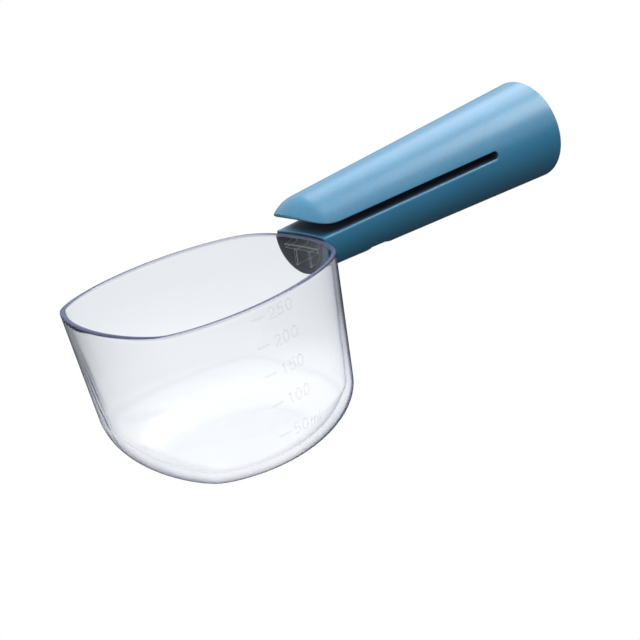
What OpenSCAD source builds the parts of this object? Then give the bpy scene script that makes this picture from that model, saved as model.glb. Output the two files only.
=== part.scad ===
// Feed scoop: a clear measuring cup on a hollow handle whose front half is a bag clip.
// Frame: origin at the centre of the cup's base, +Z up, +X along the handle.

/* [Cup] */
// Height of the cup from its base to its rim
cup_h = 60; // [50:0.5:70]
// Mean radius of the rim outline
rim_r = 44.6; // [40:0.2:50]
// How much longer than wide the rim is
rim_long = 1.4; // [0:0.1:2]
// How much the rim narrows towards the handle
rim_egg = 1.05; // [0:0.05:1.2]
// How square the rim is
rim_square = 1.95; // [1:0.05:2.1]
// How much the rim swells at the middle of its sides
rim_corner = 0.22; // [0:0.02:0.3]
// Length of the base outline over that of the rim
base_len = 0.86; // [0.8:0.01:0.95]
// Width of the base outline over that of the rim
base_wid = 0.985; // [0.85:0.005:0.99]
// Mean radius of the edge round the base
base_round = 18.2; // [14:0.2:19]
// How much larger that radius is at the front than at the back, halved
round_shift = 2.75; // [0:0.05:3]
// Wall thickness of the cup at its rim
cup_wall = 1.8; // [1.5:0.1:2.4]
// Wall and floor thickness of the cup at its base
cup_floor = 3.0; // [2:0.1:3.4]

/* [Scale marks] */
// Drop of the top mark below the rim
mark_drop = 4.1; // [3:0.1:7]
// Step in height between marks, near the rim
mark_step = 9.0; // [8.6:0.05:10]
// Growth of that step as the cup narrows
mark_grow = 0.22; // [0:0.01:0.3]
// Number of marks
mark_count = 5; // [3:1:5]
// Length of one mark
mark_len = 4.7; // [4:0.1:7]

/* [Handle] */
// Length of the handle behind the cup
handle_len = 108.4; // [90:0.2:120]
// Radius of the handle at the cup
front_r = 13.6; // [12:0.1:14]
// Radius of the handle at its rear end
rear_r = 18.7; // [16:0.1:20]
// Upward slope of the handle in degrees
handle_tilt = 1.1; // [0:0.1:3]
// Wall thickness of the handle
handle_wall = 1.8; // [1.5:0.1:2.2]

/* [Bag clip] */
// Height of the lower jaw's flat deck above the handle's axis
deck_h = 0.7; // [0.4:0.1:1.2]
// Gap between the jaws at the root
slit_root = 2.8; // [2.2:0.05:3.2]
// Gap between the jaws at the mouth
slit_mouth = 2.95; // [2.4:0.05:3.6]
// Length of the slit behind the cup
slit_len = 78.3; // [60:0.1:80]
// Where the upper lip starts to flare, behind the cup
lip_s = 7.5; // [5:0.5:12]
// Radius of the curve that flares it
lip_r = 18; // [14:1:24]
// Slope of the flared lip in degrees
lip_slope = 36; // [32:1:40]
// Centre of the ball that rounds the upper jaw's nose, behind the cup
nose_s = 3.2; // [1:0.1:6]

/* [Hidden] */
$fn = 96;

// The rim outline is given by its support: the distance from the centre to the tangent
// line whose outward normal points at angle a. The wall is then an exact inward offset.
function support(a) = rim_r + rim_long * cos(2 * a) + rim_egg * cos(3 * a)
    - rim_square * cos(4 * a) - rim_corner * cos(6 * a);
function support_slope(a) = -2 * rim_long * sin(2 * a) - 3 * rim_egg * sin(3 * a)
    + 4 * rim_square * sin(4 * a) + 6 * rim_corner * sin(6 * a);

// The base flat is centred on the origin, and the rim sits a little forward of it.
base_dx = -((support(0) * base_len - edge_round(0))
    - (support(180) * base_len - edge_round(180))) / 2;
rim_dx = base_dx + 0.8;
cup_back_x = rim_dx + support(0);
handle_z = cup_h + 0.1;

// Radius of the edge round the base, larger at the front and at the corners.
function edge_round(a) = base_round - round_shift * cos(a) - cos(2 * a)
    + 0.35 * cos(3 * a) - cos(4 * a);
function edge_round_slope(a) = round_shift * sin(a) + 2 * sin(2 * a)
    - 1.05 * sin(3 * a) + 4 * sin(4 * a);

// Inset of the wall from its straight line at height z, for an edge of radius r.
function edge_inset(z, r) = z >= r ? 0 : r - sqrt(max(0, r * r - (r - z) * (r - z)));

// How fast that inset grows with the edge's radius.
function inset_growth(z, r) = z >= r ? 0 : 1 - sqrt(max(0, z) / (2 * r - z));

// One point of the cup's skin: angle a, height z, wall inset w, floor height f. It slides
// along the wall as the inset changes round the cup, so that the corners never cross.
function skin(a, z, w, f, slide = 1) =
    let (t = 1 - z / cup_h,
         sx = 1 - (1 - base_len) * t,
         sy = 1 - (1 - base_wid) * t,
         r = edge_round(a) - w,
         in = w + edge_inset(z - f, r),
         on = slide * inset_growth(z - f, r) * edge_round_slope(a),
         h = support(a),
         s = support_slope(a))
    [(h * cos(a) - s * sin(a)) * sx - in * cos(a) + on * sin(a) + rim_dx + (base_dx - rim_dx) * t,
     (h * sin(a) + s * cos(a)) * sy - in * sin(a) - on * cos(a),
     z];

// Wall thickness of the cup at height z.
function wall(z) = cup_floor + (cup_wall - cup_floor) * z / cup_h;

around = 80;
rim_soft = 0.5;
low = [for (k = [0:7]) base_round * 1.05 * (1 - cos(k * 90 / 7))];
high = [for (k = [1:4]) base_round * 1.05 + (cup_h - rim_soft - base_round * 1.05) * k / 4];
outer_z = concat(low, high);
rings = concat(
    [for (z = outer_z) [z, 0, 0]],
    [[cup_h, rim_soft, 0], [cup_h, cup_wall - rim_soft, 0]],
    [for (k = [len(outer_z) - 1:-1:0])
        let (z = cup_floor + outer_z[k] * (1 - cup_floor / (cup_h - rim_soft)))
        [z, wall(z), cup_floor]]);

// Faces of a skin made of n rings, each with the same number of points.
function band(n, m) = [for (j = [0:n - 2], i = [0:m - 1], k = [0, 1])
    let (a = j * m + i, b = j * m + (i + 1) % m)
    k == 0 ? [a, b, b + m] : [a, b + m, a + m]];

// Places its children in the handle's own frame: +X along the axis, origin at the cup's rim.
module along_handle() {
    translate([cup_back_x, 0, handle_z]) rotate([0, -handle_tilt, 0]) children();
}

function barrel_r(s) = front_r + (rear_r - front_r) * s / handle_len;

// A length of the handle's cone, inset by w.
module cone_part(s0, s1, w) {
    translate([s0, 0, 0]) rotate([0, 90, 0])
        cylinder(h = s1 - s0, r1 = barrel_r(s0) - w, r2 = barrel_r(s1) - w);
}

// Fills the cup's side of the handle joint: the back wall's curve, moved out by gap.
back_bow = support(0) - 4 * rim_long - 9 * rim_egg + 16 * rim_square + 36 * rim_corner;
back_lean = atan((support(0) * (1 - base_len) + rim_dx - base_dx) / cup_h);
module behind_wall(gap) {
    translate([cup_back_x + gap - back_bow, 0, cup_h]) rotate([0, back_lean, 0])
        cylinder(h = 2 * cup_h, r = back_bow, center = true);
}

// A block from s0 to s1 along the handle, between heights h0 and h1.
module block(s0, s1, h0, h1, half = 30) {
    translate([s0, -half, h0]) cube([s1 - s0, 2 * half, h1 - h0]);
}

module cup_bowl() {
    m = around;
    n = len(rings);
    color([0.86, 0.9, 0.95, 0.35])
    polyhedron(
        points = [for (r = rings, i = [0:m - 1]) skin(i * 360 / m, r[0], r[1], r[2])],
        faces = concat(
            [[for (i = [0:m - 1]) m - 1 - i]],
            [for (f = band(n, m)) [f[0], f[1], f[2]]],
            [[for (i = [0:m - 1]) (n - 1) * m + i]]));
}

// Where the marks stand round the cup, just ahead of the middle of its side.
mark_a = -93.2;

// Raised bars on the side wall, level with 250, 200, 150, 100 and 50 millilitres.
module volume_marks() {
    color([0.8, 0.86, 0.93, 0.5])
    for (k = [0:mark_count - 1]) {
        z = cup_h - mark_drop - k * mark_step - k * k * mark_grow;
        translate(skin(mark_a, z, 0, 0, 0)) rotate([0, 0, mark_a + 90])
            translate([-mark_len / 2, -0.3, -0.45]) cube([mark_len, 1, 0.9]);
    }
}

tongue_len = 34;
tongue_half = 10.8;
plate_h = -3.6;
plate_t = 1.6;
rib_y = 4;
rib_t = 1.4;
latch_s = 21;
latch_len = 11;
latch_half = 7.6;

// The clear tongue that plugs into the handle: a plate, two ribs and a snap latch.
module cup_tongue() {
    color([0.86, 0.9, 0.95, 0.35])
    along_handle() {
        intersection() {
            union() {
                block(-1.6, tongue_len, plate_h - plate_t, plate_h, tongue_half);
                for (y = [-rib_y, rib_y]) translate([0, y, 0])
                    block(-1.6, tongue_len, -16, plate_h, rib_t / 2);
            }
            cone_part(-1.6, tongue_len, handle_wall + 0.1);
        }
        intersection() {
            difference() {
                cone_part(latch_s, latch_s + latch_len, 0.4);
                cone_part(latch_s - 1, latch_s + latch_len + 1, handle_wall + 0.9);
            }
            block(latch_s + 0.2, latch_s + latch_len - 0.2, -20, 0, latch_half);
        }
    }
}

cap_skirt = 7;
root_gap = 0.3;

// The rear barrel and the D-shaped lower jaw, one hollow moulding.
module handle_body() {
    color([0.29, 0.53, 0.67])
    difference() {
        along_handle() difference() {
            cone_part(-4, handle_len, 0);
            block(-20, slit_len, deck_h, 30);
            // hollow of the barrel and lower jaw, less the deck and the wall that ends the slit
            difference() {
                cone_part(-6, handle_len + 1, handle_wall);
                block(-20, slit_len + handle_wall, deck_h - handle_wall,
                    deck_h + slit_root + handle_wall);
            }
            // window for the snap latch
            block(latch_s, latch_s + latch_len, -30, -6, latch_half + 0.2);
        }
        behind_wall(0.05);
    }
}

// Side view of the upper jaw's lower edge: a long straight, a curve and a straight lift.
lip_h = deck_h + slit_mouth;
lip_curve = [for (a = [0:3:lip_slope]) [lip_s - lip_r * sin(a), lip_h + lip_r * (1 - cos(a))]];
lip_end = lip_curve[len(lip_curve) - 1];

module jaw_side(lift, front) {
    rotate([90, 0, 0])
    linear_extrude(height = 60, center = true)
    polygon(concat(
        [[slit_len - root_gap, 30], [slit_len - root_gap, deck_h + slit_root + lift]],
        [for (p = lip_curve) if (p[0] > front) p + [0, lift]],
        front < -20 ? [lip_end + 18 * [-cos(lip_slope), sin(lip_slope)]] : [],
        [[max(front, -20), 30]]));
}

// The upper jaw's round skin, inset by w: a cone that ends in a ball at the front.
module jaw_skin(w) {
    lean = atan((rear_r - front_r) / handle_len);
    ball = (barrel_r(nose_s) - w) * cos(lean);
    translate([nose_s, 0, 0]) sphere(ball);
    cone_part(nose_s - ball * sin(lean), slit_len, w);
}

// The sprung upper jaw: a hollow half cone with a round nose and a flared lip.
module upper_jaw() {
    color([0.42, 0.66, 0.8])
    along_handle() {
        difference() {
            intersection() {
                jaw_skin(0);
                jaw_side(0, -30);
            }
            intersection() {
                cone_part(4, slit_len, handle_wall);
                jaw_side(handle_wall, 4);
            }
        }
    }
}

// The plug that closes the handle's rear end, slightly domed.
module rear_cap() {
    r = barrel_r(handle_len) - handle_wall;
    rf = barrel_r(handle_len - cap_skirt) - handle_wall - 0.05;
    color([0.25, 0.47, 0.6])
    along_handle()
    translate([handle_len, 0, 0]) rotate([0, 90, 0])
    rotate_extrude()
    polygon(concat(
        [[0, -2.4], [rf - 2, -2.4], [rf - 2, -cap_skirt], [rf, -cap_skirt]],
        [[r - 0.05, 0]],
        [for (a = [80:-10:0]) [(r - 0.6) * sin(a), 1.2 * cos(a)]]));
}

cup_bowl();
volume_marks();
cup_tongue();
handle_body();
upper_jaw();
rear_cap();
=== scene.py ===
"""Looks for the feed scoop: a clear measuring cup on a blue clip handle.

Sizes marked mm are the CAD model's own and are turned into metres by MM.
"""

import math

import bmesh
import bpy
import numpy as np
from mathutils import Matrix, Vector


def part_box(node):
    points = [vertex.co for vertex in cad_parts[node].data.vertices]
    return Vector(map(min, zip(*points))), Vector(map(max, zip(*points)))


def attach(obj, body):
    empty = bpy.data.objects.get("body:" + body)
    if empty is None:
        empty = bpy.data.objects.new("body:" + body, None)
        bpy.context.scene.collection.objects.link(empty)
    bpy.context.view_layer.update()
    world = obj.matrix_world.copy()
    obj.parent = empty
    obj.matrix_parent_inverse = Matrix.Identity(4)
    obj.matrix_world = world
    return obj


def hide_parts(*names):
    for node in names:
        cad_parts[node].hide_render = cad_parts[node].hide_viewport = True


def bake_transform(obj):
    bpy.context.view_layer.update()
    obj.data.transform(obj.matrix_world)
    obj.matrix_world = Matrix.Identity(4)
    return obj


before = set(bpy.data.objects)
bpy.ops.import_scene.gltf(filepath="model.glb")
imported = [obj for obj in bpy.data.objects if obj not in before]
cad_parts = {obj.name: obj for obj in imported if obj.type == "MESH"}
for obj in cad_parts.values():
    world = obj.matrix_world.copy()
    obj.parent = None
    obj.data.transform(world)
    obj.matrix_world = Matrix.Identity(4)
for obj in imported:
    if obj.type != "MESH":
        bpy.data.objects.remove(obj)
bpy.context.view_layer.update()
MM = 0.001

# ---------------------------------------------------------------- driving sizes, mm
CUP_LOW, CUP_TOP = (np.array(c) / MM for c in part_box("cup_bowl"))
CUP_H = CUP_TOP[2] - CUP_LOW[2]
CUP_WALL, CUP_FLOOR = 1.8, 3.0
RIM_R, RIM_LONG, RIM_EGG, RIM_SQUARE, RIM_SWELL = 44.6, 1.4, 1.05, 1.95, 0.22
BASE_LEN, BASE_WID, BASE_SHIFT = 0.86, 0.985, 0.8
BASE_ROUND, ROUND_SHIFT = 18.2, 2.75

HANDLE_TILT = math.radians(1.1)
HANDLE_LEN, HANDLE_RAISE = 108.4, 0.1
FRONT_R, REAR_R = 13.6, 18.7
HANDLE_WALL = 1.8
CAP_DEPTH, CAP_CROWN, CAP_GAP, CAP_SOFT = 3.0, 0.9, 0.1, 0.3
DECK_H = 0.7
SLIT_ROOT, SLIT_MOUTH, SLIT_LEN = 2.8, 2.95, 78.3
LIP_S, LIP_R, LIP_SLOPE = 7.5, 18.0, math.radians(36)
NOSE_S = 3.2
DECK_EDGE, JAW_EDGE = 0.75, 0.22


def support(a):
    """Distance from the cup's middle to the rim's tangent with outward normal at a."""
    return (RIM_R + RIM_LONG * np.cos(2 * a) + RIM_EGG * np.cos(3 * a)
            - RIM_SQUARE * np.cos(4 * a) - RIM_SWELL * np.cos(6 * a))


def support_slope(a):
    """How fast support(a) grows with a."""
    return (-2 * RIM_LONG * np.sin(2 * a) - 3 * RIM_EGG * np.sin(3 * a)
            + 4 * RIM_SQUARE * np.sin(4 * a) + 6 * RIM_SWELL * np.sin(6 * a))


def edge_round(a):
    """Radius of the edge round the base, larger at the front and at the corners."""
    return (BASE_ROUND - ROUND_SHIFT * np.cos(a) - np.cos(2 * a)
            + 0.35 * np.cos(3 * a) - np.cos(4 * a))


def edge_round_slope(a):
    """How fast edge_round(a) grows with a."""
    return (ROUND_SHIFT * np.sin(a) + 2 * np.sin(2 * a)
            - 1.05 * np.sin(3 * a) + 4 * np.sin(4 * a))


RIM_DX = CUP_TOP[0] - support(0.0)
BASE_DX = RIM_DX - BASE_SHIFT
BACK_X = CUP_TOP[0]
HANDLE_Z = CUP_TOP[2] + HANDLE_RAISE


def wall(z):
    """Wall thickness of the cup at height z."""
    return CUP_FLOOR + (CUP_WALL - CUP_FLOOR) * z / CUP_H


def skin(a, z, inset=0.0, floor=0.0, slide=1.0):
    """Points of the cup's skin at angle a and height z, in mm.

    Points slide along the wall as the inset changes round the cup, so corners never cross.
    """
    t = 1 - z / CUP_H
    sx = 1 - (1 - BASE_LEN) * t
    sy = 1 - (1 - BASE_WID) * t
    r = edge_round(a) - inset
    up = np.minimum(z - floor, r)
    turn = r - np.sqrt(np.maximum(0.0, r * r - (r - up) ** 2))
    on = slide * (1 - np.sqrt(np.maximum(0.0, up) / (2 * r - up))) * edge_round_slope(a)
    s, ds = support(a), support_slope(a)
    x = (s * np.cos(a) - ds * np.sin(a)) * sx - (inset + turn) * np.cos(a) + on * np.sin(a)
    y = (s * np.sin(a) + ds * np.cos(a)) * sy - (inset + turn) * np.sin(a) - on * np.cos(a)
    return np.stack([x + RIM_DX + (BASE_DX - RIM_DX) * t, y, np.broadcast_to(z, x.shape)], -1)


# ---------------------------------------------------------------- mesh helpers
def add_mesh(name, verts, faces, material, smooth=True):
    """A mesh object from points in mm."""
    mesh = bpy.data.meshes.new(name)
    mesh.from_pydata([tuple(v) for v in np.asarray(verts) * MM], [], faces)
    mesh.validate()
    for p in mesh.polygons:
        p.use_smooth = smooth
    obj = bpy.data.objects.new(name, mesh)
    bpy.context.scene.collection.objects.link(obj)
    mesh.materials.append(material)
    return obj


def flat_normals(obj):
    """Keeps flats flat beside small rounded edges."""
    mod = obj.modifiers.new("normals", "WEIGHTED_NORMAL")
    mod.weight = 100
    mod.keep_sharp = True


class Grid:
    """Collects rings of points and the quads between them."""

    def __init__(self):
        self.verts, self.faces, self.count = [], [], 0

    def ring(self, points):
        start = self.count
        self.verts.extend(points)
        self.count += len(points)
        return start

    def band(self, a, b, n, closed=True, flip=False, keep=None):
        """Quads between rings a and b of n points, only where keep(i) is true if it is given."""
        for i in range(n if closed else n - 1):
            if keep is not None and not keep(i):
                continue
            j = (i + 1) % n
            quad = (a + i, a + j, b + j, b + i)
            self.faces.append(quad[::-1] if flip else quad)

    def cap(self, a, n, flip=False):
        """One face that closes ring a."""
        loop = tuple(range(a, a + n))
        self.faces.append(loop[::-1] if flip else loop)


# ---------------------------------------------------------------- materials
def node_material(name):
    mat = bpy.data.materials.new(name)
    mat.use_nodes = True
    tree = mat.node_tree
    return mat, tree, tree.nodes["Principled BSDF"]


def spread(tree, source, low, high, to_low, to_high, smooth=False):
    """The source's value moved from low..high to to_low..to_high, as an output."""
    node = tree.nodes.new("ShaderNodeMapRange")
    node.interpolation_type = "SMOOTHSTEP" if smooth else "LINEAR"
    node.inputs["From Min"].default_value = low
    node.inputs["From Max"].default_value = high
    node.inputs["To Min"].default_value = to_low
    node.inputs["To Max"].default_value = to_high
    tree.links.new(source, node.inputs["Value"])
    return node.outputs["Result"]


def colours(tree, source, stops):
    """A colour from (place, (red, green, blue)) stops, in order, as an output."""
    node = tree.nodes.new("ShaderNodeValToRGB")
    first, last = node.color_ramp.elements
    first.position, first.color = stops[0][0], stops[0][1] + (1,)
    last.position, last.color = stops[-1][0], stops[-1][1] + (1,)
    for place, colour in stops[1:-1]:
        node.color_ramp.elements.new(place).color = colour + (1,)
    tree.links.new(source, node.inputs["Fac"])
    return node.outputs["Color"]


def noise(tree, coords, scale, detail):
    node = tree.nodes.new("ShaderNodeTexNoise")
    node.inputs["Scale"].default_value = scale
    node.inputs["Detail"].default_value = detail
    tree.links.new(coords.outputs["Object"], node.inputs["Vector"])
    return node.outputs["Fac"]


def added(tree, one, other):
    node = tree.nodes.new("ShaderNodeMath")
    tree.links.new(one, node.inputs[0])
    tree.links.new(other, node.inputs[1])
    return node.outputs[0]


def bumped(tree, bsdf, height, strength, depth):
    node = tree.nodes.new("ShaderNodeBump")
    node.inputs["Strength"].default_value = strength
    node.inputs["Distance"].default_value = depth * MM
    tree.links.new(height, node.inputs["Height"])
    tree.links.new(node.outputs["Normal"], bsdf.inputs["Normal"])


def mixed(tree, share, one, other):
    """Two shaders mixed, share of the second, as an output."""
    node = tree.nodes.new("ShaderNodeMixShader")
    tree.links.new(share, node.inputs["Fac"])
    tree.links.new(one, node.inputs[1])
    tree.links.new(other, node.inputs[2])
    return node.outputs["Shader"]


def surface(tree, shader):
    tree.links.new(shader, tree.nodes["Material Output"].inputs["Surface"])


HAZE_LOW, HAZE_HIGH = 2 * MM, 18 * MM
RIM_TINT_LOW, RIM_TINT_HIGH = 59.0 * MM, 59.7 * MM
# Painted shade on the cup's outline grows from THIN_X to THICK_X, towards the handle.
THIN_X, THICK_X = -35 * MM, 30 * MM


def clear_plastic():
    """Clear moulded plastic: clear through a wall, violet-blue along its length and at the rim.

    Its outline is a dark line, partly its own tint seen edge on and partly painted shade, made bolder towards
    the handle by painted shade, and its foot is a little hazy.
    """
    mat, tree, bsdf = node_material("clear_plastic")
    coords = tree.nodes.new("ShaderNodeTexCoord")
    place = tree.nodes.new("ShaderNodeSeparateXYZ")
    tree.links.new(coords.outputs["Object"], place.inputs["Vector"])
    grazing = tree.nodes.new("ShaderNodeLayerWeight")
    grazing.inputs["Blend"].default_value = 0.5
    # Painted shade: the dark outline, drawn by view angle, is pushed darker towards the handle's side.
    handle_side_shade = spread(tree, place.outputs["X"], THIN_X, THICK_X, -0.06, 0.08)
    outline = colours(tree, added(tree, grazing.outputs["Facing"], handle_side_shade), [
        (0.62, (0.985, 0.992, 0.995)),
        (0.79, (0.86, 0.88, 0.92)),
        (0.86, (0.1, 0.12, 0.2)),
        (1.0, (0.02, 0.025, 0.07)),
    ])
    tree.links.new(outline, bsdf.inputs["Base Color"])
    bsdf.inputs["Transmission Weight"].default_value = 1.0
    bsdf.inputs["IOR"].default_value = 1.49
    bsdf.inputs["Specular IOR Level"].default_value = 0.2
    smear = spread(tree, noise(tree, coords, 35, 3), 0, 1, 0.01, 0.07)
    haze = spread(tree, place.outputs["Z"], HAZE_LOW, HAZE_HIGH, 0.11, 0.0)
    tree.links.new(added(tree, smear, haze), bsdf.inputs["Roughness"])
    bumped(tree, bsdf, noise(tree, coords, 55, 1), 0.25, 0.4)
    edge = tree.nodes.new("ShaderNodeBsdfDiffuse")
    edge.inputs["Color"].default_value = (0.15, 0.165, 0.3, 1)
    rim = spread(tree, place.outputs["Z"], RIM_TINT_LOW, RIM_TINT_HIGH, 0.0, 0.55)
    surface(tree, mixed(tree, rim, bsdf.outputs["BSDF"], edge.outputs["BSDF"]))
    tint = tree.nodes.new("ShaderNodeVolumeAbsorption")
    tint.inputs["Color"].default_value = (0.3, 0.37, 0.65, 1)
    tint.inputs["Density"].default_value = 12
    tree.links.new(tint.outputs["Volume"], tree.nodes["Material Output"].inputs["Volume"])
    return mat


def see_through(name, colour, roughness, least, most):
    """Thin clear plastic that shows more the more edge on it is seen, from least to most."""
    mat, tree, bsdf = node_material(name)
    bsdf.inputs["Base Color"].default_value = colour + (1,)
    bsdf.inputs["Roughness"].default_value = roughness
    see = tree.nodes.new("ShaderNodeBsdfTransparent")
    see.inputs["Color"].default_value = (0.985, 0.987, 0.992, 1)
    edge = tree.nodes.new("ShaderNodeLayerWeight")
    edge.inputs["Blend"].default_value = 0.35
    shown = spread(tree, edge.outputs["Facing"], 0, 1, least, most)
    surface(tree, mixed(tree, shown, see.outputs["BSDF"], bsdf.outputs["BSDF"]))
    return mat


def blue_plastic():
    """Satin blue moulding with a fine pearly grain, darkened by painted shade and duller deep in the slit."""
    mat, tree, bsdf = node_material("blue_plastic")
    coords = tree.nodes.new("ShaderNodeTexCoord")
    grain = noise(tree, coords, 2300, 2)
    both = tree.nodes.new("ShaderNodeMath")
    both.operation = "MULTIPLY_ADD"
    both.inputs[1].default_value = 0.45
    tree.links.new(noise(tree, coords, 45, 2), both.inputs[0])
    tree.links.new(grain, both.inputs[2])
    pearl = colours(tree, both.outputs[0], [
        (0.45, (0.043, 0.225, 0.385)),
        (0.95, (0.061, 0.285, 0.47)),
    ])
    # Painted shade: ambient occlusion mixes a near-black blue into the base colour in the slit and other
    # close nooks, and makes them duller.
    crevice_shade = tree.nodes.new("ShaderNodeAmbientOcclusion")
    crevice_shade.inputs["Distance"].default_value = 5 * MM
    openness = spread(tree, crevice_shade.outputs["AO"], 0.45, 0.9, 0.0, 1.0)
    shade = tree.nodes.new("ShaderNodeMix")
    shade.data_type = "RGBA"
    shade.inputs[6].default_value = (0.004, 0.016, 0.04, 1)
    tree.links.new(openness, shade.inputs[0])
    tree.links.new(pearl, shade.inputs[7])
    tree.links.new(shade.outputs[2], bsdf.inputs["Base Color"])
    tree.links.new(spread(tree, openness, 0, 1, 0.8, 0.29), bsdf.inputs["Roughness"])
    bumped(tree, bsdf, grain, 0.3, 0.09)
    bsdf.inputs["Specular IOR Level"].default_value = 0.8
    return mat


CLEAR = clear_plastic()
RELIEF = see_through("clear_relief", (0.6, 0.62, 0.66), 0.2, 0.02, 0.16)
TONGUE = see_through("clear_tongue", (0.4, 0.42, 0.48), 0.15, 0.06, 0.4)
TONGUE_EDGE = see_through("clear_tongue_edge", (0.85, 0.87, 0.95), 0.3, 0.7, 0.9)
BLUE = blue_plastic()

# ---------------------------------------------------------------- cup
AROUND = 288
ANGLES = np.linspace(0, 2 * np.pi, AROUND, endpoint=False)
RIM_SOFT = 0.8
# Below this height the rings stand closer, for the rounded base.
KNEE = BASE_ROUND * 1.2


def cup():
    """The cup as one closed shell: outside, rounded rim, inside."""
    g = Grid()
    low = KNEE * (1 - np.cos(np.linspace(0, math.pi / 2, 30)))
    high = np.linspace(KNEE, CUP_H - RIM_SOFT, 26)[1:]
    heights = np.concatenate([low, high])
    rings = [g.ring(skin(ANGLES, z)) for z in heights]
    for q in np.linspace(0, math.pi / 2, 7)[1:]:
        rings.append(g.ring(skin(ANGLES, CUP_H - RIM_SOFT + RIM_SOFT * math.sin(q),
                                 RIM_SOFT * (1 - math.cos(q)))))
    for q in np.linspace(math.pi / 2, math.pi, 7):
        z = CUP_H - RIM_SOFT + RIM_SOFT * math.sin(q)
        rings.append(g.ring(skin(ANGLES, z, wall(z) - RIM_SOFT * (1 + math.cos(q)), CUP_FLOOR)))
    for z in heights[::-1][1:]:
        inner = CUP_FLOOR + z * (1 - CUP_FLOOR / (CUP_H - RIM_SOFT))
        rings.append(g.ring(skin(ANGLES, inner, wall(inner), CUP_FLOOR)))
    for a, b in zip(rings, rings[1:]):
        g.band(a, b, AROUND)
    g.cap(rings[0], AROUND, flip=True)
    g.cap(rings[-1], AROUND)
    return add_mesh("cup", g.verts, g.faces, CLEAR)


bowl = cup()
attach(bowl, "scoop")
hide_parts("cup_bowl")

# ---------------------------------------------------------------- volume marks
MARK_DROP, MARK_STEP, MARK_GROW = 4.1, 9.0, 0.22
MARK_LEN, MARK_END, MARK_STROKE = 4.7, -1.55, 0.42
SIDE_BOW = 70.0
GLYPH_H, GLYPH_STEP, GLYPH_START = 3.9, 3.6, 0.3
STROKE = 0.3
# The end of a line narrows to this share of its width, and reaches as much further.
TAPER = 0.6


def arc(cx, cy, rx, ry, a0, a1, n=12):
    """Points on part of an ellipse, from a0 to a1 degrees."""
    t = np.radians(np.linspace(a0, a1, n))
    return [(cx + rx * math.cos(v), cy + ry * math.sin(v)) for v in t]


# Strokes of each character in a box 1 high, with its middle at x = 0.
GLYPHS = {
    "0": [arc(0, 0.5, 0.3, 0.46, 90, 450, 25)],
    "1": [[(-0.14, 0.76), (0.06, 0.96), (0.06, 0.04)]],
    "2": [arc(0, 0.68, 0.27, 0.28, 165, -38, 14) + [(-0.29, 0.04), (0.3, 0.04)]],
    "5": [[(0.27, 0.96), (-0.2, 0.96), (-0.24, 0.54)] + arc(-0.02, 0.34, 0.3, 0.3, 112, -145, 16)],
    "m": [[(-0.4, 0.02), (-0.4, 0.6)], arc(-0.2, 0.42, 0.2, 0.18, 180, 0, 9) + [(0.0, 0.02)],
          arc(0.2, 0.42, 0.2, 0.18, 180, 0, 9) + [(0.4, 0.02)]],
    "l": [[(0, 0.02), (0, 0.98)]],
}
GLYPH_SHIFT = {"m": 0.25, "l": 0.05}


def side_wall(u, z):
    """A point and outward normal on the side wall, u mm along it towards the handle."""
    a = np.array([-math.pi / 2 + u / SIDE_BOW])
    p = skin(a, z, slide=0)[0]
    across = skin(a + 0.01, z, slide=0)[0] - skin(a - 0.01, z, slide=0)[0]
    up = skin(a, z + 0.2, slide=0)[0] - skin(a, z - 0.2, slide=0)[0]
    n = np.cross(across, up)
    return p, n / np.linalg.norm(n)


def ridge(g, path, width=STROKE, proud=0.16, sides=8):
    """A rounded raised line along path, given as (u, z) points on the side wall."""
    pts = [side_wall(u, z) for u, z in path]
    place = np.array([p for p, _ in pts])
    last = len(pts) - 1
    rings = []
    for i, (p, n) in enumerate(pts):
        ahead = place[min(i + 1, last)] - place[max(i - 1, 0)]
        ahead /= np.linalg.norm(ahead)
        side = np.cross(n, ahead)
        side /= np.linalg.norm(side)
        turn = np.linspace(0, 2 * np.pi, sides + 1)[:-1]
        end = TAPER if i in (0, last) else 1.0
        shift = ahead * width * (-TAPER if i == 0 else TAPER if i == last else 0.0)
        rings.append(g.ring([p + shift + side * width * end * math.cos(v)
                             + n * (proud * end * math.sin(v)) for v in turn]))
    for a, b in zip(rings, rings[1:]):
        g.band(a, b, sides, flip=True)
    g.cap(rings[0], sides)
    g.cap(rings[-1], sides, flip=True)


def volume_marks():
    """Five raised bars, each followed by its number in millilitres."""
    g = Grid()
    for k, label in enumerate(("250", "200", "150", "100", "50ml")):
        z = CUP_H - MARK_DROP - k * MARK_STEP - k * k * MARK_GROW
        ridge(g, [(MARK_END - MARK_LEN + 0.3 + d, z) for d in np.linspace(0, MARK_LEN - 0.6, 6)],
              width=MARK_STROKE)
        for i, ch in enumerate(label):
            u = GLYPH_START + GLYPH_STEP * (i + 0.42 + GLYPH_SHIFT.get(ch, 0))
            for stroke in GLYPHS[ch]:
                ridge(g, [(u + x * GLYPH_H, z + (y - 0.5) * GLYPH_H) for x, y in stroke])
    return add_mesh("marks", g.verts, g.faces, RELIEF)


marks = volume_marks()
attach(marks, "scoop")
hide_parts("volume_marks")

# ---------------------------------------------------------------- handle
AXIS = np.array([math.cos(HANDLE_TILT), 0, math.sin(HANDLE_TILT)])
RISE = np.array([-math.sin(HANDLE_TILT), 0, math.cos(HANDLE_TILT)])
SIDE = np.array([0.0, 1.0, 0.0])
START = np.array([BACK_X, 0, HANDLE_Z])


def at(s, y, h):
    """A point s along the handle, y to its side and h above its axis."""
    return START + np.multiply.outer(s, AXIS) + np.multiply.outer(y, SIDE) + np.multiply.outer(h, RISE)


def barrel(s):
    """Outer radius of the handle's cone."""
    return FRONT_R + (REAR_R - FRONT_R) * s / HANDLE_LEN


LEAN = math.atan2(REAR_R - FRONT_R, HANDLE_LEN)
NOSE_R = barrel(NOSE_S) * math.cos(LEAN)


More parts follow.
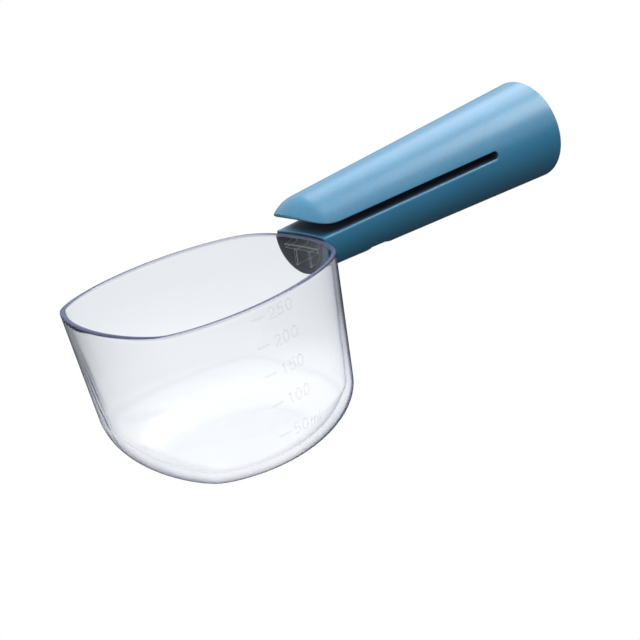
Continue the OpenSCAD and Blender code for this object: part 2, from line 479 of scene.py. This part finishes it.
def jaw_radius(s):
    """Radius of the upper jaw: the handle's cone, ending in a ball at the front."""
    if s > NOSE_S - NOSE_R * math.sin(LEAN):
        return barrel(s)
    return math.sqrt(max(0.0, NOSE_R ** 2 - (NOSE_S - s) ** 2))


MID_H = DECK_H + SLIT_ROOT / 2
ARC_N, FILLET_N, FLAT_N = 97, 6, 13


def d_outline(r, line, fillet, lower=True):
    """Outline of a round bar cut by a flat at height line, corners rounded, in (y, h).

    The bar's round side comes first, then a corner, the flat and the other corner.
    """
    side = -1.0 if lower else 1.0
    cut = line * -side
    fillet = max(fillet, 1e-3)
    hc = cut - fillet
    yc = math.sqrt(max((r - fillet) ** 2 - hc * hc, 1e-6))
    start = math.atan2(hc, yc)
    round_side = np.linspace(math.pi - start, 2 * math.pi + start, ARC_N)
    pts = [(r * math.cos(v), r * math.sin(v)) for v in round_side]
    for v in np.linspace(start, math.pi / 2, FILLET_N)[1:]:
        pts.append((yc + fillet * math.cos(v), hc + fillet * math.sin(v)))
    for y in np.linspace(yc, -yc, FLAT_N)[1:-1]:
        pts.append((y, cut))
    for v in np.linspace(math.pi / 2, math.pi - start, FILLET_N)[:-1]:
        pts.append((-yc + fillet * math.cos(v), hc + fillet * math.sin(v)))
    out = np.array(pts)
    return out * [1, -side] if not lower else out


RHO = SLIT_ROOT / 2
LIP_H = DECK_H + SLIT_MOUTH
LIP_END = np.array([LIP_S - LIP_R * math.sin(LIP_SLOPE), LIP_H + LIP_R * (1 - math.cos(LIP_SLOPE))])
# Stations that close up on the slit's round end, back from it.
ROOT_STEPS = -RHO * np.array([1.6, 1.2, 1.0, 0.85, 0.7, 0.55, 0.42, 0.3, 0.2, 0.12, 0.06, 0.02, 0.0])


def slit_end(s):
    """Half height of the slit at s as a share of its full height: 1 to 0 round its end."""
    d = (s - (SLIT_LEN - RHO)) / RHO
    return 1.0 if d <= 0 else math.sqrt(max(0.0, 1 - d * d))


def deck(s):
    """Height of the lower jaw's flat top."""
    return MID_H - RHO * slit_end(s)


def lip(s):
    """Height of the upper jaw's lower edge."""
    if s >= LIP_S:
        straight = DECK_H + SLIT_ROOT + (SLIT_MOUTH - SLIT_ROOT) * (SLIT_LEN - s) / (SLIT_LEN - LIP_S)
        return MID_H + (straight - MID_H) * slit_end(s)
    if s >= LIP_END[0]:
        return LIP_H + LIP_R - math.sqrt(LIP_R ** 2 - (LIP_S - s) ** 2)
    return LIP_END[1] + (LIP_END[0] - s) * math.tan(LIP_SLOPE)


WALL_A = np.linspace(-0.45, 0.45, 61)


def on_wall(outline, gap):
    """Outline points (y, h) moved along the handle to lie gap off the cup's back wall."""
    out = []
    for y, h in outline:
        z = min(HANDLE_Z + h * math.cos(HANDLE_TILT), CUP_H)
        p = skin(WALL_A, np.full(len(WALL_A), z))
        x = np.interp(y, p[:, 1], p[:, 0]) + gap
        s = (x - BACK_X + h * math.sin(HANDLE_TILT)) / math.cos(HANDLE_TILT)
        out.append(at(s, y, h))
    return out


def section(s, outline):
    """Outline points (y, h) placed square to the handle at s."""
    return [at(s, y, h) for y, h in outline]


# The latch's window: where it is along the handle, and its columns in the socket's outline.
WINDOW = (21.0, 32.0)
WINDOW_COLS = (30, 66)
FRONT_SOFT, REAR_SOFT, RIM_CHAMFER = 0.35, 0.5, 0.15
WALL_GAP = 0.05
# Stations of the socket's outside; its inside stops at SOCKET_DEEP.
SOCKET_DEEP = 60
STATIONS = np.concatenate([[0.6, 2, 4, 8, 12, 16, WINDOW[0], 24, 28, WINDOW[1], 36],
                           np.arange(40, 76, 4), SLIT_LEN + ROOT_STEPS])


def outside_window(s):
    """Tells which columns of the band that starts at s are not in the latch's window."""
    inside = WINDOW[0] <= s < WINDOW[1]
    return lambda i: not (inside and WINDOW_COLS[0] <= i < WINDOW_COLS[1])


def window_edges(g, outer, inner):
    """The four walls of the window, between the socket's outside and inside."""
    k0, k1 = (list(STATIONS).index(s) for s in WINDOW)
    for k, flip in ((k0, False), (k1, True)):
        for i in range(*WINDOW_COLS):
            quad = (outer[k] + i, outer[k] + i + 1, inner[k] + i + 1, inner[k] + i)
            g.faces.append(quad[::-1] if flip else quad)
    for k in range(k0, k1):
        for i, flip in zip(WINDOW_COLS, (True, False)):
            quad = (outer[k] + i, outer[k + 1] + i, inner[k + 1] + i, inner[k] + i)
            g.faces.append(quad[::-1] if flip else quad)


def socket(g):
    """The lower jaw: a D-shaped socket for the tongue, with a window for its latch."""
    n = len(d_outline(FRONT_R, DECK_H, DECK_EDGE))
    front = []
    for q in np.linspace(0, math.pi / 2, 4):
        inset = FRONT_SOFT * (1 - math.sin(q))
        shape = d_outline(FRONT_R - inset, DECK_H - inset, DECK_EDGE)
        front.append(g.ring(on_wall(shape, WALL_GAP + FRONT_SOFT * (1 - math.cos(q)))))
    outer = [g.ring(section(s, d_outline(barrel(s), deck(s), DECK_EDGE * slit_end(s)))) for s in STATIONS]
    inner_line = DECK_H - HANDLE_WALL
    mouth = g.ring(on_wall(d_outline(FRONT_R - HANDLE_WALL, inner_line, 0.6), WALL_GAP))
    deep = [s for s in STATIONS if s <= SOCKET_DEEP]
    inner = [g.ring(section(s, d_outline(barrel(s) - HANDLE_WALL, inner_line, 0.6))) for s in deep]
    for a, b in zip(front, front[1:] + outer[:1]):
        g.band(a, b, n, flip=True)
    for s, a, b in zip(STATIONS, outer, outer[1:]):
        g.band(a, b, n, flip=True, keep=outside_window(s))
    g.band(front[0], mouth, n)
    g.band(mouth, inner[0], n)
    for s, a, b in zip(deep, inner, inner[1:]):
        g.band(a, b, n, keep=outside_window(s))
    g.cap(inner[-1], n)
    window_edges(g, outer, inner)


def rear_barrel(g):
    """The round barrel behind the slit, hollow at the rear, with a rounded rim."""
    start = math.asin(MID_H / barrel(SLIT_LEN))
    under = np.linspace(math.pi - start, 2 * math.pi + start, ARC_N)
    over = np.linspace(start, math.pi - start, ARC_N)[1:-1]
    turn = np.concatenate([under, over])
    m = len(turn)

    def circle(s, r):
        return g.ring([at(s, r * math.cos(v), r * math.sin(v)) for v in turn])

    rings = [circle(s, barrel(s)) for s in np.linspace(SLIT_LEN, HANDLE_LEN - REAR_SOFT, 16)]
    for q in np.linspace(0, math.pi / 2, 5)[1:]:
        rings.append(circle(HANDLE_LEN - REAR_SOFT * (1 - math.sin(q)),
                            barrel(HANDLE_LEN) - REAR_SOFT * (1 - math.cos(q))))
    bore = barrel(HANDLE_LEN) - HANDLE_WALL
    rings += [circle(HANDLE_LEN, bore + RIM_CHAMFER), circle(HANDLE_LEN - RIM_CHAMFER, bore),
              circle(HANDLE_LEN - CAP_DEPTH, bore - CAP_GAP)]
    for a, b in zip(rings, rings[1:]):
        g.band(a, b, m, flip=True)
    g.cap(rings[-1], m, flip=True)


def handle():
    """The socket and the barrel, welded where they meet at the slit's end."""
    g = Grid()
    socket(g)
    rear_barrel(g)
    obj = add_mesh("handle_shell", g.verts, g.faces, BLUE)
    bm = bmesh.new()
    bm.from_mesh(obj.data)
    bmesh.ops.remove_doubles(bm, verts=bm.verts, dist=0.004 * MM)
    bm.to_mesh(obj.data)
    bm.free()
    flat_normals(obj)
    return obj


def jaw():
    """The upper jaw: a half cone with a flat underside and a flared, pointed lip."""
    g = Grid()
    tip = LIP_END[0]
    while lip(tip) < jaw_radius(tip):
        tip -= 0.005
    s_list = np.concatenate([tip + 0.02 + (LIP_S - tip) * np.linspace(0, 1, 44) ** 1.6,
                             np.linspace(LIP_S + 1, SLIT_LEN - 2 * SLIT_ROOT, 26),
                             SLIT_LEN + ROOT_STEPS])
    rings = []
    for s in s_list:
        r, line = jaw_radius(s), lip(s)
        fillet = min(JAW_EDGE * slit_end(s), 0.45 * (r - line))
        shape = d_outline(r, line, fillet, lower=False)
        rings.append(g.ring(section(s, shape)))
    n = len(shape)
    for a, b in zip(rings, rings[1:]):
        g.band(a, b, n)
    g.cap(rings[0], n, flip=True)
    obj = add_mesh("upper_jaw_shell", g.verts, g.faces, BLUE)
    flat_normals(obj)
    return obj


handle_shell = handle()
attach(handle_shell, "scoop")
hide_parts("handle_body")

jaw_shell = jaw()
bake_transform(jaw_shell)
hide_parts("upper_jaw")


def end_cap():
    """The plug in the barrel's rear end: a shallow dome with a rounded edge."""
    g = Grid()
    n = 128
    turn = np.linspace(0, 2 * np.pi, n, endpoint=False)
    r = barrel(HANDLE_LEN) - HANDLE_WALL - CAP_GAP
    outline = [(-CAP_DEPTH, r - 0.1), (-0.4, r)]
    outline += [(-0.1 + CAP_SOFT * math.sin(q), r - CAP_SOFT * (1 - math.cos(q)))
                for q in np.linspace(0, 1.3, 4)]
    outline += [(0.2 + CAP_CROWN * math.cos(q), (r - 0.4) * math.sin(q))
                for q in np.radians(np.linspace(78, 4, 16))]
    rings = [g.ring([at(HANDLE_LEN + s, q * math.cos(v), q * math.sin(v)) for v in turn])
             for s, q in outline]
    for a, b in zip(rings, rings[1:]):
        g.band(a, b, n, flip=True)
    g.cap(rings[0], n)
    g.cap(rings[-1], n, flip=True)
    return add_mesh("end_cap", g.verts, g.faces, BLUE)


cap = end_cap()
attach(cap, "scoop")
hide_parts("rear_cap")

# ---------------------------------------------------------------- tongue
TONGUE_LEN, TONGUE_HALF = 34.0, 10.8
PLATE_H, PLATE_T = -3.6, 1.6
RIB_Y, RIB_T = 4.0, 1.4
TONGUE_GAP, LATCH_GAP = 0.1, 0.3
# The latch's section, as (place along the handle, depth below its skin).
LATCH = ((WINDOW[0] + LATCH_GAP, 2.6), (WINDOW[0] + LATCH_GAP, 0.6),
         (WINDOW[1] - LATCH_GAP, 0.4), (WINDOW[1] - LATCH_GAP, 2.6))


def tongue():
    """The clear tongue: a plate with two ribs under it and a snap latch."""
    g = Grid()

    def prism(profile, y0, y1):
        """A slab with an (s, h) profile between two sides."""
        a = g.ring([at(s, y0, h) for s, h in profile])
        b = g.ring([at(s, y1, h) for s, h in profile])
        n = len(profile)
        g.band(a, b, n, flip=True)
        g.cap(a, n)
        g.cap(b, n, flip=True)

    prism([(-1.2, PLATE_H - PLATE_T), (TONGUE_LEN, PLATE_H - PLATE_T),
           (TONGUE_LEN, PLATE_H), (-1.2, PLATE_H)], -TONGUE_HALF + 0.9, TONGUE_HALF - 0.9)
    for y in (-RIB_Y, RIB_Y):
        inner = [barrel(s) - HANDLE_WALL - TONGUE_GAP for s in (0, TONGUE_LEN)]
        low = [-math.sqrt(r * r - (RIB_Y + RIB_T / 2) ** 2) for r in inner]
        prism([(-2.0, low[0]), (TONGUE_LEN, low[1]), (TONGUE_LEN, PLATE_H - PLATE_T),
               (-1.4, PLATE_H - PLATE_T)], y - RIB_T / 2, y + RIB_T / 2)
    cols = np.radians(np.linspace(-122, -58, 17))
    rows = []
    for s, inset in LATCH:
        r = barrel(s) - inset
        rows.append(g.ring([at(s, r * math.cos(v), r * math.sin(v)) for v in cols]))
    for a, b in zip(rows, rows[1:] + rows[:1]):
        g.band(a, b, len(cols), closed=False, flip=True)
    for i, flip in ((0, False), (len(cols) - 1, True)):
        quad = tuple(r + i for r in rows)
        g.faces.append(quad[::-1] if flip else quad)
    obj = add_mesh("tongue", g.verts, g.faces, TONGUE, smooth=False)
    obj.data.materials.append(TONGUE_EDGE)
    bevel = obj.modifiers.new("edges", "BEVEL")
    bevel.material = 1
    bevel.width = 0.25 * MM
    bevel.segments = 2
    bevel.limit_method = "ANGLE"
    return obj


plug = tongue()
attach(plug, "scoop")
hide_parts("cup_tongue")

# ---------------------------------------------------------------- floor, light, camera
scene = bpy.context.scene
scene.view_settings.view_transform = "Standard"
scene.cycles.max_bounces = 32
scene.cycles.glossy_bounces = 24
scene.cycles.transmission_bounces = 24

FLOOR_Z = -0.5 * MM
FLOOR_HALF = 8.0
# Distances from the cup's foot, in metres, for the fade of the floor's painted glow and for its painted
# dimming.
NEAR, FAR = 0.05, 0.8
DIM_FROM, DIM_TO = 0.07, 0.12


def floor_material():
    """White to the eye, bright at the foot through the cup, and dark to the light itself.

    Seen through the cup it glows with painted light, bright at the foot and greyer further off, and a painted
    dimming makes it dimmer when mirrored in its walls.
    """
    mat, tree, bsdf = node_material("floor")
    bsdf.inputs["Base Color"].default_value = (0.045, 0.05, 0.055, 1)
    bsdf.inputs["Roughness"].default_value = 0.9
    bsdf.inputs["Specular IOR Level"].default_value = 0.0
    path = tree.nodes.new("ShaderNodeLightPath")
    coords = tree.nodes.new("ShaderNodeTexCoord")
    length = tree.nodes.new("ShaderNodeVectorMath")
    length.operation = "LENGTH"
    tree.links.new(coords.outputs["Object"], length.inputs[0])
    away = length.outputs["Value"]
    # Painted light: the floor's glow seen through the cup, a bright pool at the foot fading to dark further
    # off.
    tint = colours(tree, spread(tree, away, NEAR, FAR, 0.0, 1.0), [
        (0.0, (1.17, 1.17, 1.18)),
        (0.05, (0.97, 0.98, 1.0)),
        (0.2, (0.87, 0.89, 0.92)),
        (0.45, (0.86, 0.88, 0.915)),
        (1.0, (0.06, 0.065, 0.08)),
    ])
    # Painted shade: where the cup's walls mirror the floor, its glow is dimmed away from the foot.
    mirrored = spread(tree, path.outputs["Glossy Depth"], 0, 1, 1.0, 1.0)
    dimmest = spread(tree, away, DIM_FROM, DIM_TO, 1.0, 0.45)
    tree.links.new(dimmest, mirrored.node.inputs["To Max"])
    through = tree.nodes.new("ShaderNodeEmission")
    tree.links.new(tint, through.inputs["Color"])
    tree.links.new(mirrored, through.inputs["Strength"])
    through = through.outputs["Emission"]
    white = tree.nodes.new("ShaderNodeEmission")
    white.inputs["Color"].default_value = (1, 1, 1, 1)
    hidden = mixed(tree, path.outputs["Is Transmission Ray"], bsdf.outputs["BSDF"], through)
    surface(tree, mixed(tree, path.outputs["Is Camera Ray"], hidden, white.outputs["Emission"]))
    return mat


def studio_floor():
    """A square floor just under the cup's foot."""
    mesh = bpy.data.meshes.new("floor")
    half = FLOOR_HALF
    mesh.from_pydata([(-half, -half, 0), (half, -half, 0), (half, half, 0), (-half, half, 0)],
                     [], [(0, 1, 2, 3)])
    mesh.materials.append(floor_material())
    obj = bpy.data.objects.new("floor", mesh)
    obj.location.z = FLOOR_Z
    scene.collection.objects.link(obj)


def panel(tree, coords, centre, along, long, wide, amount):
    """A soft bright patch of the dome round centre, long and wide in radians, as its strength."""
    centre, along = Vector(centre).normalized(), Vector(along).normalized()
    away = (centre - along * centre.dot(along)).normalized()
    place = tree.nodes.new("ShaderNodeMapping")
    place.vector_type = "TEXTURE"
    place.inputs["Location"].default_value = centre
    place.inputs["Rotation"].default_value = Matrix((along, away.cross(along), away)).transposed().to_euler()
    place.inputs["Scale"].default_value = (long, wide, 1)
    ball = tree.nodes.new("ShaderNodeTexGradient")
    ball.gradient_type = "SPHERICAL"
    tree.links.new(coords.outputs["Generated"], place.inputs["Vector"])
    tree.links.new(place.outputs["Vector"], ball.inputs["Vector"])
    return spread(tree, ball.outputs["Fac"], 0, 0.6, 0, amount, smooth=True)


def studio_world():
    """An even pale dome, dim at the horizon, with two soft panels up behind the handle's end.

    The camera itself sees plain white.
    """
    world = bpy.data.worlds.new("studio")
    scene.world = world
    world.use_nodes = True
    tree = world.node_tree
    dome = tree.nodes["Background"]
    coords = tree.nodes.new("ShaderNodeTexCoord")
    split = tree.nodes.new("ShaderNodeSeparateXYZ")
    tree.links.new(coords.outputs["Generated"], split.inputs["Vector"])
    sky = colours(tree, split.outputs["Z"], [(0.0, (0.2, 0.21, 0.23)), (0.2, (0.95, 0.97, 1.0))])
    key = panel(tree, coords, (0.636, 0.299, 0.713), (0, 0.92, -0.39), 0.5, 0.34, 3.3)
    streak = panel(tree, coords, (0.66, -0.359, 0.659), (0, -0.875, -0.484), 0.38, 0.2, 8)
    even = tree.nodes.new("ShaderNodeMath")
    even.inputs[1].default_value = 1.0
    tree.links.new(key, even.inputs[0])
    tree.links.new(sky, dome.inputs["Color"])
    tree.links.new(added(tree, even.outputs[0], streak), dome.inputs["Strength"])
    path = tree.nodes.new("ShaderNodeLightPath")
    white = tree.nodes.new("ShaderNodeBackground")
    white.inputs["Color"].default_value = (1, 1, 1, 1)
    seen = mixed(tree, path.outputs["Is Camera Ray"], dome.outputs["Background"], white.outputs["Background"])
    tree.links.new(seen, tree.nodes["World Output"].inputs["Surface"])


CAM_AZ, CAM_EL, CAM_ROLL = (math.radians(v) for v in (-33.99, 19.39, -13.37))
CAM_PLACE = (-0.27014, -0.46144, 0.22483)
CAM_LENS, CAM_SENSOR = 95.7, 36


def studio_camera():
    """The camera, turned by its azimuth and elevation and rolled about its line of sight."""
    back = Vector((math.sin(CAM_AZ) * math.cos(CAM_EL), -math.cos(CAM_AZ) * math.cos(CAM_EL),
                   math.sin(CAM_EL)))
    level = Vector((math.cos(CAM_AZ), math.sin(CAM_AZ), 0))
    upright = back.cross(level)
    right = math.cos(CAM_ROLL) * level + math.sin(CAM_ROLL) * upright
    up = -math.sin(CAM_ROLL) * level + math.cos(CAM_ROLL) * upright
    turn = Matrix((right, up, back)).transposed().to_4x4()
    data = bpy.data.cameras.new("camera")
    data.lens = CAM_LENS
    data.sensor_width = CAM_SENSOR
    obj = bpy.data.objects.new("camera", data)
    obj.matrix_world = Matrix.Translation(CAM_PLACE) @ turn
    scene.collection.objects.link(obj)
    return obj


studio_world()
studio_floor()
scene.camera = studio_camera()
